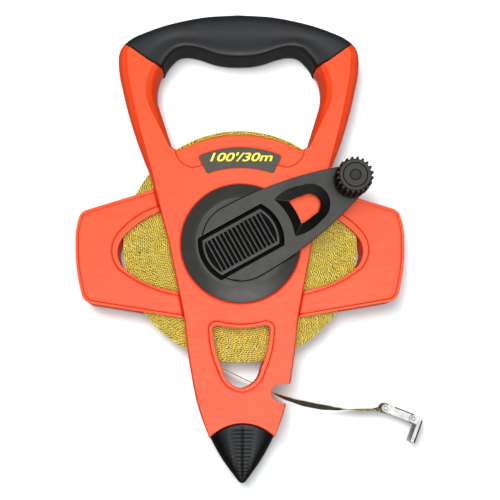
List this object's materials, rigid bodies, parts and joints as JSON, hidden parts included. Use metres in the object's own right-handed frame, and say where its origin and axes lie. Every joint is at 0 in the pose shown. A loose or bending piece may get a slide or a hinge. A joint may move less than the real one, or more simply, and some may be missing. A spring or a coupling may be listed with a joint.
{
  "type": "surveyor tape reel",
  "caption": "Open-frame surveyor tape reel with a soft hand grip, winding crank with a free-turning knob, wound glass-fibre tape and a folding end hook.",
  "frame": {"origin": "on the spool axis, on the flat rear face of the hub cap that the reel rests on", "axes": "+Z along the spool axis towards the crank, +Y towards the hand grip, +X towards the side where the tape comes out"},
  "size_m": [0.224, 0.3069, 0.061],
  "materials": {
    "orange_abs": "satin moulded",
    "grip_rubber": "matte",
    "crank_plastic": "fine textured",
    "bush_plastic": "smooth",
    "label_film": "printed film",
    "tape_glass": "woven glass fibre under vinyl",
    "steel": "stamped"
  },
  "bodies": {
    "frame": {"front_frame_half": "orange_abs", "rear_frame_half": "orange_abs", "frame_screws": "steel", "handle_grip": "grip_rubber", "nose_cone": "grip_rubber", "front_bush": "bush_plastic", "rear_bush": "bush_plastic", "rear_hub_cap": "crank_plastic", "length_label": "label_film", "tape_tail": "tape_glass", "tape_end_loop": "tape_glass"},
    "reel": {"drum_front": "crank_plastic", "drum_rear": "crank_plastic", "tape_winding": "tape_glass", "spindle": "steel", "retaining_clip": "steel", "drag_washer": "bush_plastic", "spindle_screw": "steel", "crank_disc": "crank_plastic", "crank_arm": "crank_plastic", "crank_arm_screws": "steel", "crank_pad": "crank_plastic", "knob_pin": "steel", "knob_washer": "bush_plastic"},
    "knob": {"crank_knob": "crank_plastic", "knob_cap": "crank_plastic"},
    "hook": {"hook_arm": "steel", "hook_pin": "steel", "claw_rivet": "steel"},
    "claw": {"hook_claw": "steel"}
  },
  "joints": [
    {"name": "reel_spin", "type": "hinge", "parent": "frame", "child": "reel", "pos_m": [0, 0, 0.015], "axis": [0, 0, 1], "continuous": true},
    {"name": "knob_spin", "type": "hinge", "parent": "reel", "child": "knob", "pos_m": [0.07098, 0.03902, 0.05], "axis": [0, 0, 1], "continuous": true},
    {"name": "hook_pivot", "type": "hinge", "parent": "frame", "child": "hook", "pos_m": [0.09355, -0.1061, 0.0083], "axis": [0, 0, 1], "range_deg": [-50, 75]},
    {"name": "claw_fold", "type": "hinge", "parent": "hook", "child": "claw", "pos_m": [0.11106, -0.11307, 0.0083], "axis": [0, 0, 1], "range_deg": [-90, 0]}
  ]
}
